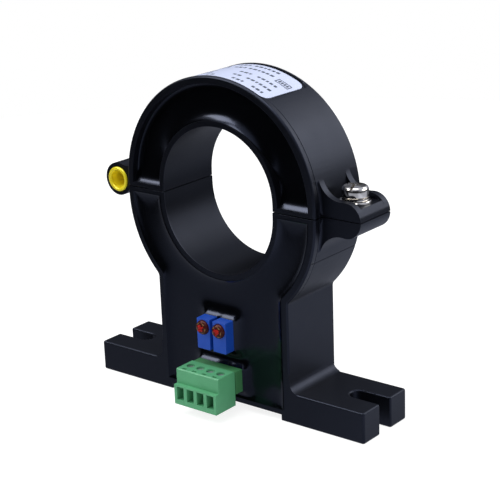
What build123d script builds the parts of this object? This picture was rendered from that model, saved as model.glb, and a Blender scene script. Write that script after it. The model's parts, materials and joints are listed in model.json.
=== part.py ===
"""Split ring current sensor: a hinged moulded ring on two slotted feet, potted around half-ring cores.

Millimetres. The origin is the centre of the conductor window. The front, with the potted face, the
trimmers and the plug, looks towards -Y. X runs from foot to foot and Z is up.
"""
from build123d import *
from math import cos, radians, sin, sqrt
import os

# Moulded ring
bore_radius = 20.25
window_straight = 1.75
ring_radius = 34.8
ring_depth = 22.4
outer_wall = 2.3
bore_wall = 1.7
back_wall = 2.0
parting_wall = 1.4
seam_gap = 0.12
rim_ease = 0.5

# Neck and feet
window_height = 63.3
neck_half_width = 24.5
foot_reach = 50.3
foot_setback = 0.6
foot_height = 9.5
foot_pad_inner = 21.3
arch_rise = 2.0
arch_wall = 1.6
neck_root_fillet = 3.0
ring_neck_fillet = 2.0
edge_round = 0.8
slot_width = 5.4
slot_length = 11.7

# Lugs on the parting plane
lug_reach = 7.5
lug_radius = 5.1
lug_depth = 14.6
clamp_sweep = 7.2
hinge_sweep = 5.0
knuckle_gap = 0.2
knuckle_count = 3

# Hollow hinge rivet
rivet_radius = 2.7
rivet_bore_radius = 2.2
rivet_fit = 0.08
rivet_head_radius = 3.8
rivet_head_height = 0.6
rivet_head_gap = 0.1

# Small round forms drawn with flat sides
thread_sides = 12
knurl_sides = 16
well_sides = 24

# Clamp screw with its washers
clamp_reach = 5.9
screw_hole_radius = 2.3
screw_shank_radius = 1.65
screw_length = 8.0
screw_head_radius = 3.8
screw_head_height = 3.3
cross_width = 0.9
cross_reach = 4.6
cross_depth = 1.7
washer_radius = 4.5
washer_hole_radius = 2.15
washer_thickness = 0.8
spring_washer_radius = 3.8
spring_washer_thickness = 0.9
spring_washer_split = 0.8
spring_washer_split_angle = 215.0
clamp_floor = 2.0
washer_room = 0.7
insert_radius = 2.6
insert_bore_radius = 2.0
insert_length = 3.4
insert_setback = 0.3

# Potting
upper_potting_drop = 2.6
lower_potting_drop = 0.7

# Label on the crown of the upper half
label_half_angle = 31.2
label_border = 1.2
label_corner = 2.4
label_thickness = 0.2
label_pocket_depth = 0.3
label_room = 0.15

# Cores and Hall elements
core_outer_gap = 1.0
core_depth = 14.0
hall_length = 4.0
hall_width = 3.0
hall_thickness = 1.5
lead_thickness = 0.4
lead_gap = 0.3
lead_end_angle = 55.0

# Circuit board
board_thickness = 1.6
board_edge_gap = 0.7
board_top_rise = 37.3
chip_length = 5.0
chip_width = 4.0
chip_thickness = 1.5
chip_rise = 16.3
chip_leg_pitch = 1.27
chip_leg_width = 0.4
chip_leg_reach = 1.0
chip_legs_per_side = 4

# Trimmers
trimmer_pitch = 6.0
trimmer_width = 4.83
trimmer_height = 9.53
trimmer_length = 10.03
trimmer_standoff = 0.3
trimmer_proud = 5.0
trimmer_rise = 23.6
trimmer_screw_drop = 2.6
trimmer_screw_radius = 1.7
trimmer_screw_proud = 1.1
trimmer_screw_seat = 0.5
trimmer_shank_radius = 0.9
trimmer_shank_length = 6.0
trimmer_screw_fit = 0.1
trimmer_slot_width = 0.6
trimmer_slot_depth = 0.6
trimmer_pin_size = 0.45
trimmer_pin_pitch = 2.54
trimmer_pin_tail = 1.0

# Header on the board
poles = 4
pole_pitch = 3.81
header_half_width = 8.1
header_height = 7.0
header_rise = 10.2
header_wall = 0.9
header_length = 9.6
header_floor = 2.0
pin_size = 1.0
pin_reach = 6.0
pin_tail = 1.2

# Pluggable screw terminal
plug_fit = 0.12
plug_shoulder_gap = 0.4
plug_half_width = 8.0
plug_rise = 14.1
plug_height = 10.8
plug_length = 8.9
plug_step_drop = 4.6
plug_step_depth = 1.4
plug_nose_length = 7.3
plug_edge = 0.3
screw_well_radius = 1.3
screw_well_inset = 3.9
screw_well_slit = 1.5
screw_well_slit_width = 0.35
screw_well_slit_depth = 0.8
screw_well_slit_gap = 0.55
terminal_head_radius = 1.15
terminal_head_height = 1.3
terminal_head_sink = 0.6
terminal_shank_radius = 0.85
terminal_slot_width = 0.4
terminal_slot_depth = 0.5
wire_window_width = 2.6
wire_window_height = 3.3
wire_window_sill = 1.5
cage_width = 2.8
cage_length = 3.0
cage_wall = 0.4
cage_floor = 0.6
cage_nut_height = 1.2
cage_hole_radius = 0.95
cage_window_height = 3.8
cage_fit = 0.1
tongue_thickness = 0.35
tongue_gap = 0.1
tongue_width = 1.6
socket_wall = 0.4
socket_length = 6.0
contact_fit = 0.05

# Places worked out from the sizes
front = -ring_depth / 2
rear = ring_depth / 2
inner_rear = rear - back_wall
base_level = -window_height
foot_front = front
foot_rear = rear - foot_setback
foot_middle = (foot_front + foot_rear) / 2
foot_top = base_level + foot_height
arch_level = base_level + arch_rise
cavity_floor = arch_level + arch_wall
cavity_half_width = neck_half_width - outer_wall
cavity_outer = ring_radius - outer_wall
cavity_inner = bore_radius + bore_wall
lug_offset = ring_radius + lug_reach
clamp_offset = ring_radius + clamp_reach
lug_front = -lug_depth / 2
lug_rear = lug_depth / 2
half_seam = seam_gap / 2
core_inner = cavity_inner
core_outer = cavity_outer - core_outer_gap
core_front = inner_rear - core_depth
lower_core_level = parting_wall + hall_thickness
lead_inner = core_outer + lead_gap
lead_outer = lead_inner + lead_thickness
trimmer_front = front - trimmer_proud
trimmer_rear = trimmer_front + trimmer_length
board_front = trimmer_rear + trimmer_standoff
board_rear = board_front + board_thickness
board_top = base_level + board_top_rise
chip_middle = base_level + chip_rise
trimmer_middle = base_level + trimmer_rise
header_middle = base_level + header_rise
plug_top = base_level + plug_rise
header_front = board_front - header_length
header_low = header_middle - header_height / 2
header_high = header_middle + header_height / 2
plug_rear = header_front - plug_shoulder_gap
plug_front = plug_rear - plug_length
plug_low = plug_top - plug_height
well_y = plug_front + plug_step_depth + screw_well_inset
window_low = plug_low + wire_window_sill
cage_low = window_low - cage_floor
cage_window_top = window_low + cage_window_height
cage_top = cage_window_top + cage_nut_height
terminal_head_top = plug_top - terminal_head_sink
terminal_head_low = terminal_head_top - terminal_head_height
tongue_top = cage_window_top - tongue_gap
cage_rise = terminal_head_low - cage_top - cage_fit
pole_places = [(index - (poles - 1) / 2) * pole_pitch for index in range(poles)]
trimmer_places = [-trimmer_pitch / 2, trimmer_pitch / 2]
insert_top = -half_seam - insert_setback
washer_low = clamp_floor
spring_low = washer_low + washer_thickness
head_low = spring_low + spring_washer_thickness


def block(x_range, y_range, z_range):
    """Box between the two ends of each range."""
    spans = [ends[1] - ends[0] for ends in (x_range, y_range, z_range)]
    middles = [(ends[0] + ends[1]) / 2 for ends in (x_range, y_range, z_range)]
    return Pos(*middles) * Box(*spans)


def around(middle, width):
    """Two ends of a span about its middle."""
    return (middle - width / 2, middle + width / 2)


def along_y(profile, y_front, y_rear):
    """Extrude a profile drawn in x and z from its front to its rear."""
    plane = Plane((0, y_rear, 0), x_dir=(1, 0, 0), z_dir=(0, -1, 0))
    return extrude(plane * profile, y_rear - y_front)


def section(radius, sides):
    """Circle, or a polygon in it where a number of sides is given."""
    return RegularPolygon(radius, sides) if sides else Circle(radius)


def rod_y(x, z, radius, y_front, y_rear, sides=0):
    """Bar along y."""
    return along_y(Pos(x, z) * section(radius, sides), y_front, y_rear)


def rod_z(x, y, radius, low, high, sides=0):
    """Bar along z."""
    return Pos(x, y, low) * extrude(section(radius, sides), high - low)


def rectangle(x_range, z_range):
    """Flat rectangle between the ends of two ranges."""
    middle = Pos((x_range[0] + x_range[1]) / 2, (z_range[0] + z_range[1]) / 2)
    return middle * Rectangle(x_range[1] - x_range[0], z_range[1] - z_range[0])


def half_plane(side, level):
    """Everything more than a level away from the parting plane, on one side of it."""
    reach = 3 * window_height
    return Pos(0, side * (level + reach / 2)) * Rectangle(reach, reach)


def oblong(radius):
    """Two half circles held apart by a short straight stretch on each side of the parting plane."""
    return SlotCenterToCenter(2 * window_straight, 2 * radius, rotation=90)


def half_ring(inner, outer, side, level):
    """Half of a flat ring, cut off at a level."""
    return (oblong(outer) - oblong(inner)) & half_plane(side, level)


def turned(outline, x, y, z, direction):
    """Solid of revolution: outline points are radius and distance along the axis."""
    plane = Plane((x, y, z), x_dir=(1, 0, 0), z_dir=direction)
    face = make_face(Polyline(*[(radius, 0, height) for radius, height in outline], close=True))
    return plane.location * revolve(face, Axis.Z)


# Housing profiles

def neck_profile(half_width, low):
    """Straight neck under the ring, down to a level."""
    return rectangle((-half_width, half_width), (low, -bore_radius))


def lower_profile(radius, half_width, low, level):
    """Half ring and neck in one outline, rounded where they meet."""
    outline = (oblong(radius) & half_plane(-1, level)) + neck_profile(half_width, low)
    corners = [v for v in outline.vertices()
               if abs(abs(v.X) - half_width) < 0.01 and v.Y > low + ring_neck_fillet]
    return fillet(corners, ring_neck_fillet)


def lug_profile(sweep):
    """Barrel on the +x side, joined to the ring by a hollow sweep above and below."""
    from_ring = ring_radius + sweep
    from_barrel = lug_radius + sweep
    apart = sqrt(lug_offset ** 2 + window_straight ** 2)
    along = (from_ring ** 2 - from_barrel ** 2 + apart ** 2) / (2 * apart)
    across = sqrt(from_ring ** 2 - along ** 2)
    x = (along * lug_offset + across * window_straight) / apart
    z = window_straight + (across * lug_offset - along * window_straight) / apart
    corners = [(0, 0), (0, window_straight), (x, z), (lug_offset, 0)]
    web = make_face(Polyline(*corners, close=True)) - Pos(x, z) * Circle(sweep)
    both = web + mirror(web, about=Plane.XZ) + Pos(lug_offset, 0) * Circle(lug_radius)
    return both - oblong(ring_radius - outer_wall / 2)


def barrel_profile():
    """Round barrel alone, on the +x side."""
    return Pos(lug_offset, 0) * Circle(lug_radius)


# Hinge and clamp lugs

def knuckle_spans():
    """Front and rear of each hinge knuckle."""
    length = (lug_depth - knuckle_gap * (knuckle_count - 1)) / knuckle_count
    starts = [lug_front + index * (length + knuckle_gap) for index in range(knuckle_count)]
    return [(start, start + length) for start in starts]


def hinge_knuckles(side):
    """Knuckles of one half on the -x side: outer ones for the upper half, inner ones for the lower."""
    flat = (lug_profile(hinge_sweep) & half_plane(side, half_seam)) + barrel_profile()
    flat = mirror(flat - Pos(lug_offset, 0) * Circle(rivet_radius + rivet_fit), about=Plane.YZ)
    first = 0 if side > 0 else 1
    return [along_y(flat, start, end) for start, end in knuckle_spans()[first::2]]


def clamp_lug(side):
    """Lug of one half on the +x side, between two swept webs."""
    lug = along_y(lug_profile(clamp_sweep) & half_plane(side, half_seam), lug_front, lug_rear)
    if side > 0:
        room = washer_radius + washer_room
        pocket = rectangle((0, 2 * lug_offset), (clamp_floor, ring_radius)) - oblong(ring_radius)
        lug -= along_y(pocket, -room, room)
        return lug - rod_z(clamp_offset, 0, screw_hole_radius, 0, clamp_floor)
    lug -= rod_z(clamp_offset, 0, insert_bore_radius, -2 * lug_radius, 0)
    return lug - rod_z(clamp_offset, 0, insert_radius, insert_top - insert_length, 0, knurl_sides)


# Moulded halves

def eased_front(solid, inner_limit):
    """Break the outer front edges, leaving the bore and the parting faces sharp."""
    edges = [e for e in solid.edges()
             if abs(e.bounding_box().max.Y - front) < 0.001 and abs((e @ 0.5).Z) > parting_wall
             and sqrt((e @ 0.5).X ** 2 + (e @ 0.5).Z ** 2) > inner_limit]
    return chamfer(edges, rim_ease)


def label_blank(room, inner, outer):
    """Curved rectangle with rounded corners, following the crown of the ring."""
    half_length = ring_radius * sin(radians(label_half_angle)) + room
    half_width = ring_depth / 2 - label_border + room
    sheet = along_y(half_ring(inner, outer, 1, 0), front, rear)
    outline = RectangleRounded(2 * half_length, 2 * half_width, label_corner + room)
    return sheet & extrude(outline, 2 * ring_radius)


def upper_housing():
    """Upper half ring, open at the front, with hinge knuckles and the screw lug."""
    body = along_y(half_ring(bore_radius, ring_radius, 1, half_seam), front, rear)
    body = eased_front(body, bore_radius + outer_wall)
    body = body.fuse(*hinge_knuckles(1), clamp_lug(1))
    body -= upper_cavity(front - rim_ease)
    return body - label_blank(label_room, ring_radius - label_pocket_depth, ring_radius + outer_wall)


def upper_cavity(y_front):
    """Space inside the upper half ring."""
    return along_y(half_ring(cavity_inner, cavity_outer, 1, parting_wall), y_front, inner_rear)


def lower_cavity(y_front):
    """Space inside the lower half ring and the neck."""
    flat = lower_profile(cavity_outer, cavity_half_width, cavity_floor, parting_wall)
    return along_y(flat - oblong(cavity_inner), y_front, inner_rear)


def foot_slot(side):
    """U-shaped slot open at the end of one foot."""
    slot_end = foot_reach - slot_length + slot_width / 2
    tool = Pos(side * slot_end, foot_middle) * Circle(slot_width / 2)
    ends = sorted((side * slot_end, side * (foot_reach + slot_width)))
    tool += rectangle(ends, around(foot_middle, slot_width))
    return Pos(0, 0, base_level - edge_round) * extrude(tool, foot_height + 2 * edge_round)


def feet():
    """Both feet in one bar that runs under the neck, arched between the pads."""
    bar = rectangle((-foot_reach, foot_reach), (base_level, foot_top))
    stem = rectangle((-neck_half_width, neck_half_width), (foot_top, foot_top + 2 * neck_root_fillet))
    outline = bar + stem
    roots = [v for v in outline.vertices()
             if abs(abs(v.X) - neck_half_width) < 0.01 and abs(v.Y - foot_top) < 0.01]
    outline = fillet(roots, neck_root_fillet)
    outline -= rectangle((-foot_pad_inner, foot_pad_inner), (base_level - arch_rise, arch_level))
    solid = along_y(outline, foot_front, foot_rear)
    corners = [e for e in solid.edges().filter_by(Axis.Z) if abs(e.center().X) > foot_reach - 0.01]
    solid = fillet(corners, edge_round)
    return solid - foot_slot(1) - foot_slot(-1)


def lower_housing():
    """Lower half ring, neck and feet in one moulding, open at the front."""
    outline = lower_profile(ring_radius, neck_half_width, arch_level, half_seam) - oblong(bore_radius)
    body = eased_front(along_y(outline, front, rear), bore_radius + outer_wall)
    body = body.fuse(feet(), *hinge_knuckles(-1), clamp_lug(-1))
    return body - lower_cavity(front - rim_ease)


# Cores, Hall elements and board

def upper_core():
    """Upper half of the gapped ring core."""
    return along_y(half_ring(core_inner, core_outer, 1, parting_wall), core_front, inner_rear)


def lower_core():
    """Lower half of the core, set down by the thickness of the Hall elements."""
    return along_y(half_ring(core_inner, core_outer, -1, lower_core_level), core_front, inner_rear)


def hall_element(side):
    """Flat Hall element in the air gap, under the parting wall."""
    middle = side * (core_inner + core_outer) / 2
    return block(around(middle, hall_length), (board_rear, board_rear + hall_width),
                 (-lower_core_level, -parting_wall))


def hall_leads(side):
    """Flat lead strip from a Hall element, round the core and down behind the board."""
    strip_low = -parting_wall - (hall_thickness + lead_thickness) / 2
    start = (core_inner + core_outer + hall_length) / 2
    flat = half_ring(lead_inner, lead_outer, -1, -strip_low)
    far = 2 * ring_radius
    wedge = make_face(Polyline((0, 0), (far, 0), (far, -far), (far * cos(radians(lead_end_angle)),
                      -far * sin(radians(lead_end_angle))), close=True))
    flat = (flat & wedge) + rectangle((start, lead_outer), (strip_low, strip_low + lead_thickness))
    flat = flat if side > 0 else mirror(flat, about=Plane.YZ)
    return along_y(flat, board_rear, board_rear + hall_width)


def circuit_board():
    """Board across the neck, hollowed at the top to clear the core, drilled for every pin."""
    half_width = cavity_half_width - board_edge_gap
    flat = rectangle((-half_width, half_width), (cavity_floor + board_edge_gap, board_top))
    flat -= oblong(lead_inner)
    board = along_y(flat, board_front, board_rear)
    for pin in header_pins() + trimmer_pins():
        board -= pin
    return board


def amplifier_chip():
    """Amplifier on the back of the board, with a row of legs along each side."""
    low = board_rear
    body = block(around(0, chip_length), (low, low + chip_thickness), around(chip_middle, chip_width))
    span = chip_width + 2 * chip_leg_reach
    for index in range(chip_legs_per_side):
        x = (index - (chip_legs_per_side - 1) / 2) * chip_leg_pitch
        body += block(around(x, chip_leg_width), (low, low + chip_leg_width), around(chip_middle, span))
    return body


# Trimmers

def trimmer_body(x):
    """Trimmer case with a round seat for its screw and two feet on the board."""
    z_range = around(trimmer_middle, trimmer_height)
    case = block(around(x, trimmer_width), (trimmer_front, trimmer_rear), z_range)
    case = chamfer(case.edges().filter_by(Axis.Y), edge_round / 4)
    feet_y = (trimmer_rear, board_front)
    for z in (z_range[0] + edge_round / 2, z_range[1] - edge_round / 2):
        case += block(around(x, trimmer_width - edge_round), feet_y, around(z, edge_round))
    z = screw_height()
    case -= rod_y(x, z, trimmer_screw_radius + trimmer_screw_fit, trimmer_front - 1,
                  trimmer_front + trimmer_screw_seat)
    return case - rod_y(x, z, trimmer_shank_radius + trimmer_screw_fit, trimmer_front,
                        trimmer_front + trimmer_screw_seat + trimmer_shank_length + trimmer_screw_fit,
                        thread_sides)


def screw_height():
    """Level of the trimmer screws."""
    return trimmer_middle + trimmer_height / 2 - trimmer_screw_drop


def trimmer_screw(x):
    """Slotted adjusting screw in the trimmer's face."""
    z = screw_height()
    seat = trimmer_front + trimmer_screw_seat
    top = trimmer_front - trimmer_screw_proud
    head = rod_y(x, z, trimmer_screw_radius, top, seat)
    head += rod_y(x, z, trimmer_shank_radius, seat, seat + trimmer_shank_length, thread_sides)
    slot = block(around(x, trimmer_slot_width), (top - 1, top + trimmer_slot_depth),
                 around(z, 3 * trimmer_screw_radius))
    return head - slot


def trimmer_pins():
    """Three stamped pins of each trimmer, through the board."""
    pins = []
    for x in trimmer_places:
        for index in (-1, 0, 1):
            z = trimmer_middle + index * trimmer_pin_pitch
            pins.append(block(around(x, trimmer_pin_size), (trimmer_rear, board_rear + trimmer_pin_tail),
                              around(z, trimmer_pin_size)))
    return pins


# Header and plug

def header_pins():
    """Square pins through the header's floor and the board."""
    start = board_front - header_floor - pin_reach
    return [block(around(x, pin_size), (start, board_rear + pin_tail), around(header_middle, pin_size))
            for x in pole_places]


def terminal_header():
    """Shroud with a floor, standing on the board and open at the front."""
    shell = block((-header_half_width, header_half_width), (header_front, board_front),
                  (header_low, header_high))
    inner = header_half_width - header_wall
    shell -= block((-inner, inner), (header_front - 1, board_front - header_floor),
                   (header_low + header_wall, header_high - header_wall))
    for pin in header_pins():
        shell -= pin
    return shell


def contact_parts(x, grow):
    """Tongue, riser and pin socket of one plug contact, as plain bars grown by a fit."""
    socket_half = pin_size / 2 + contact_fit + socket_wall + grow
    socket_front = header_front - 1
    tongue_front = well_y - cage_length / 2
    socket = block(around(x, 2 * socket_half),
                   (socket_front - grow, socket_front + socket_length + grow),
                   around(header_middle, 2 * socket_half))
    tongue = block(around(x, tongue_width + 2 * grow), (tongue_front - grow, socket_front + 1),
                   (tongue_top - tongue_thickness - grow, tongue_top + grow))
    riser = block(around(x, tongue_width + 2 * grow), (socket_front - grow, socket_front + 1),
                  sorted((tongue_top - tongue_thickness - grow, header_middle)))
    return [socket, tongue, riser]


def plug_contact(x):
    """One contact: a tongue over the wire, bent up to a square socket that takes the pin."""
    socket, tongue, riser = contact_parts(x, 0)
    hole = pin_size + 2 * contact_fit
    pin_way = block(around(x, hole), (header_front, header_front + ring_depth),
                    around(header_middle, hole))
    return socket + tongue + riser - pin_way


def plug_body():
    """Plug moulding: stepped front with wire windows, screw wells on top, nose into the header."""
    width = (-plug_half_width, plug_half_width)
    body = block(width, (plug_front, plug_rear), (plug_low, plug_top))
    body -= block((-2 * plug_half_width, 2 * plug_half_width), (plug_front - 1, plug_front + plug_step_depth),
                  (plug_top - plug_step_drop, plug_top + 1))
    body = chamfer(body.edges().filter_by(Axis.X).sort_by(Axis.Z)[-2:], plug_edge)
    nose_half = header_half_width - header_wall - plug_fit
    inset = header_wall + plug_fit
    body += block((-nose_half, nose_half), (plug_rear, plug_rear + plug_nose_length),
                  (header_low + inset, header_high - inset))
    for x in pole_places:
        body -= wire_way(x)
        body -= screw_well(x)
        for bar in contact_parts(x, contact_fit):
            body -= bar
        body -= block(around(x, pin_size + 4 * contact_fit), (header_front, header_front + ring_depth),
                      around(header_middle, pin_size + 4 * contact_fit))
    return body


def wire_way(x):
    """Window in the front and the chamber where the cage rises."""
    chamber_y = around(well_y, cage_length + 2 * cage_fit)
    window = block(around(x, wire_window_width), (plug_front - 1, well_y),
                   (window_low, window_low + wire_window_height))
    chamber = block(around(x, cage_width + 2 * cage_fit), chamber_y,
                    (cage_low - cage_fit, cage_top + cage_rise + cage_fit))
    return window + chamber


def screw_well(x):
    """Round well for a terminal screw, with a short slit in front of it."""
    well = rod_z(x, well_y, screw_well_radius, cage_top, plug_top + 1, well_sides)
    slit_rear = well_y - screw_well_radius - screw_well_slit_gap
    slit = block(around(x, screw_well_slit), (slit_rear - screw_well_slit_width, slit_rear),
                 (plug_top - screw_well_slit_depth, plug_top + 1))
    return well + slit


def terminal_screw(x):
    """Slotted screw in its well, threaded into the cage's nut."""
    head = rod_z(x, well_y, terminal_head_radius, terminal_head_low, terminal_head_top)
    shank = rod_z(x, well_y, terminal_shank_radius, cage_window_top, terminal_head_low, thread_sides)
    slot = block(around(x, 3 * terminal_head_radius), around(well_y, terminal_slot_width),
                 (terminal_head_top - terminal_slot_depth, terminal_head_top + 1))
    return head + shank - slot


def wire_cage(x):
    """Rising cage: a box loop with a thick threaded top, open along y."""
    loop = block(around(x, cage_width), around(well_y, cage_length), (cage_low, cage_top))
    loop -= block(around(x, cage_width - 2 * cage_wall), around(well_y, 2 * cage_length),
                  (window_low, cage_window_top))
    return loop - rod_z(x, well_y, cage_hole_radius, cage_window_top, cage_top, thread_sides)


# Fasteners

def hinge_rivet():
    """Hollow rivet, flared over at both ends."""
    half = lug_depth / 2 + rivet_head_gap
    ends = half + rivet_head_height
    outline = [(rivet_bore_radius, -ends), (rivet_head_radius, -ends), (rivet_head_radius, -half),
               (rivet_radius, -half), (rivet_radius, half), (rivet_head_radius, half),
               (rivet_head_radius, ends), (rivet_bore_radius, ends)]
    return turned(outline, -lug_offset, 0, 0, (0, 1, 0))


def clamp_screw():
    """Pan head screw with a cross recess."""
    top = head_low + screw_head_height
    head = rod_z(clamp_offset, 0, screw_head_radius, head_low, top)
    for turn in (0, 90):
        bar = Rot(0, 0, turn) * Box(cross_reach, cross_width, cross_depth)
        head -= Pos(clamp_offset, 0, top - cross_depth / 2) * bar
    return head + rod_z(clamp_offset, 0, screw_shank_radius, head_low - screw_length, head_low,
                        knurl_sides)


def ring_washer(radius, low, thickness):
    """Plain washer round the clamp screw."""
    return (rod_z(clamp_offset, 0, radius, low, low + thickness)
            - rod_z(clamp_offset, 0, washer_hole_radius, low, low + thickness))


def spring_washer():
    """Split spring washer."""
    washer = ring_washer(spring_washer_radius, spring_low, spring_washer_thickness)
    cut = block((0, 2 * spring_washer_radius), around(0, spring_washer_split),
                (-spring_washer_thickness, 2 * spring_washer_thickness))
    return washer - Pos(clamp_offset, 0, spring_low) * Rot(0, 0, spring_washer_split_angle) * cut


def clamp_insert():
    """Threaded insert moulded into the lower lug."""
    low = insert_top - insert_length
    return (rod_z(clamp_offset, 0, insert_radius, low, insert_top, knurl_sides)
            - rod_z(clamp_offset, 0, insert_bore_radius, low, insert_top))


# Potting

def upper_potting(fitted):
    """Compound that fills the upper half ring up to below its rim."""
    fill = upper_cavity(front + upper_potting_drop)
    for piece in fitted:
        fill -= piece
    return fill


def lower_potting(fitted):
    """Compound that fills the lower half and the neck."""
    fill = lower_cavity(front + lower_potting_drop)
    for piece in fitted:
        fill -= piece
    return fill


def build_nodes():
    """Every sub-part by name; a list is a group of like solids."""
    nodes = {
        "upper_housing": upper_housing(),
        "lower_housing": lower_housing(),
        "upper_core": upper_core(),
        "lower_core": lower_core(),
        "rating_label": label_blank(0, ring_radius - label_pocket_depth,
                                    ring_radius - label_pocket_depth + label_thickness),
        "hinge_rivet": hinge_rivet(),
        "clamp_screw": clamp_screw(),
        "spring_washer": spring_washer(),
        "flat_washer": ring_washer(washer_radius, washer_low, washer_thickness),
        "clamp_insert": clamp_insert(),
        "circuit_board": circuit_board(),
        "amplifier_chip": amplifier_chip(),
        "hall_element_left": hall_element(-1),
        "hall_element_right": hall_element(1),
        "hall_leads_left": hall_leads(-1),
        "hall_leads_right": hall_leads(1),
        "trimmer_pins": trimmer_pins(),
        "terminal_header": terminal_header(),
        "terminal_pins": header_pins(),
        "terminal_plug": plug_body(),
        "plug_contacts": [plug_contact(x) for x in pole_places],
    }
    for name, x in zip(("zero", "span"), trimmer_places):
        nodes[name + "_trimmer"] = trimmer_body(x)
        nodes[name + "_screw"] = trimmer_screw(x)
    for index, x in enumerate(pole_places):
        nodes[f"terminal_screw_{index + 1}"] = terminal_screw(x)
        nodes[f"wire_cage_{index + 1}"] = wire_cage(x)
    header_hull = block((-header_half_width, header_half_width), (header_front, board_front),
                        (header_low, header_high))
    trimmer_hulls = [block(around(x, trimmer_width), (trimmer_front, board_front),
                           around(trimmer_middle, trimmer_height)) for x in trimmer_places]
    sunk = ["lower_core", "circuit_board", "amplifier_chip", "hall_element_left", "hall_element_right",
            "hall_leads_left", "hall_leads_right"]
    inner = [nodes[name] for name in sunk] + header_pins() + trimmer_pins() + trimmer_hulls + [header_hull]
    nodes["upper_potting"] = upper_potting([nodes["upper_core"]])
    nodes["lower_potting"] = lower_potting(inner)
    return nodes


def main():
    os.makedirs("parts", exist_ok=True)
    for name, shape in build_nodes().items():
        shape = Compound(children=[piece.solid() for piece in shape]) if isinstance(shape, list) else shape
        shape.label = name
        export_step(shape, f"parts/{name}.step")


main()
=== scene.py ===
"""Looks of the split ring current sensor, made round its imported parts.

Sizes in this file are millimetres, as in the part's source.
Every mesh is scaled to metres when it is made.
"""
import bmesh
import bpy
import json
from math import asin, atan2, cos, degrees, exp, hypot, pi, radians, sin, sqrt
from mathutils import Matrix, Vector
from mathutils.geometry import delaunay_2d_cdt


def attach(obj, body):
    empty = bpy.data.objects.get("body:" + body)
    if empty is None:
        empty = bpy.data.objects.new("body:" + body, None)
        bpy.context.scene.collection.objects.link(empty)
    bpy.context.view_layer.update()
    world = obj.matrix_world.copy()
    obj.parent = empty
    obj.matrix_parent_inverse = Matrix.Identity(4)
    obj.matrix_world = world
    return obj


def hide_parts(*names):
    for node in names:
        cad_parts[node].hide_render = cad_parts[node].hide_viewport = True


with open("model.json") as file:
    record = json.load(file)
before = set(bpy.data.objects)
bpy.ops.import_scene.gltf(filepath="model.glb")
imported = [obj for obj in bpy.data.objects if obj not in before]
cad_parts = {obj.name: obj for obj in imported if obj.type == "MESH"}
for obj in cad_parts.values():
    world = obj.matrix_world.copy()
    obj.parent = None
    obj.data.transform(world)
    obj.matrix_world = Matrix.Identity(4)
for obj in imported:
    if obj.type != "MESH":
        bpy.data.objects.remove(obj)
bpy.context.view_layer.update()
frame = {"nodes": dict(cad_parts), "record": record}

mm = 0.001
nodes = frame["nodes"]
record = frame["record"]
node_body = {node: body for body, group in record["behaviour"]["bodies"].items() for node in group}
node_slot = {part["node"]: part["material_slot"] for part in record["subparts"]}

# Sizes and places as in the part's source
ring_radius = 34.8
window_straight = 1.75
sleeve_radius = 21.95
packed_parting = 0.06
front, rear = -11.2, 11.2
base_level = -63.3
lug_offset, lug_radius, lug_rear = 42.3, 5.1, 7.3
rivet_x, clamp_x = -lug_offset, 40.7
packed_clamp_floor = 2.0
label_floor = ring_radius - 0.3
trimmer_places = {"zero": -3.0, "span": 3.0}
trimmer_face = -16.2
trimmer_screw_z = -37.535
pole_pitch = 3.81
plug_top = -49.2
plug_rear = -15.87
well_y = -19.47
packed_window_top = -55.2

# Sizes drawn otherwise than in the source, to come nearer to the photograph
parting = 0.13
clamp_floor = 3.4
window_top = -54.4
slit_sides = [(-21.67, -22.75), (-21.32, -21.90)]  # (y in the source, y here) of each side
label_half_angle = 30.7
label_front, label_rear, label_corner = -10, 9.1, 2.6

# Fine line moulded round the ring behind its front rim, and across the lower half
score_line_inset = 2.2
score_width = 0.24
score_depth = 0.16
score_low = -24.0
score_end_steps, score_round_step = 32, 1.5
lower_seam_drop = 13.4

# How meshes are joined, how their levels are recognised, and how copies are rounded
cad_merge, turned_merge, film_merge, skin_merge = 0.002, 0.0005, 0.001, 0.0001
level_match, seam_match = 0.01, 0.005
flat_angle, corner_angle = 0.4, 24
unclamped_width = 0.5  # short edges nearby don't hold back a bevel as wide as this
least_edge = 0.35

# Where the rounded edges, the clamp screw's floor and the plug's reshaped corners lie
front_edges, rear_edges = front + 0.7, rear - 0.05
foot_zone_top, foot_zone_start = base_level + 13, 26.5
lug_zone_start, lug_zone_low, lug_zone_high = 35.6, 0.2, 12
floor_zone_start, floor_zone_half = 34, 5.4
trimmer_edges = trimmer_face + 0.3
window_zone_rear, slit_zone_low = well_y - 1.5, plug_top - 1

# Skin of the compound: its points, and how it climbs
rim_pitch, grid_pitch, grid_margin = 0.5, 1.1, 1.7
row_depths = (0.12, 0.28, 0.5, 0.85, 1.4)
row_clearance = 0.93
skin_lift, skin_depth = 0.03, 0.3
ledge_reach = 1.6
arc_low, arc_high = 5.0, 25.0

# Label film and its marks, with heights above the floor of the pocket
film_low, film_high = 0.005, 0.2
mark_low, mark_high = 0.15, 0.23
mark_height, mark_gap, mark_least = 1.0, 0.55, 0.5
mark_widths = (0.95, 1.2, 0.7, 1.05)

# Clamp screw and its washers
head_low, head_top = 5.1, 8.6
screw_tip = packed_clamp_floor - 6.3
thread_pitch, thread_radius, thread_core = 0.7, 1.93, 1.65
ridge_taper = 0.86
recess_width, recess_turn, recess_taper, recess_rise = 0.95, 107, 0.85, 1.5
washer_top = clamp_floor + 0.8

# Slots of the terminal screws
slot_reach, slot_turn = 4, 35

# Floor
floor_radius, floor_drop = 420, 0.02

# Shine
blue_sheen = (0.64, 0.72, 1.0)
reflection_tint = (0.78, 0.83, 1.0)
# The lower shine of the bore is painted shade
housing_shine, bore_shine = 0.42, 0.24
bore_reach, bore_start = 22.1, front + 0.4


# Materials

def link(tree, source, output, target, socket):
    """Join an output of one node to an input of another, by their names."""
    tree.links.new(source.outputs[output], target.inputs[socket])


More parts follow.
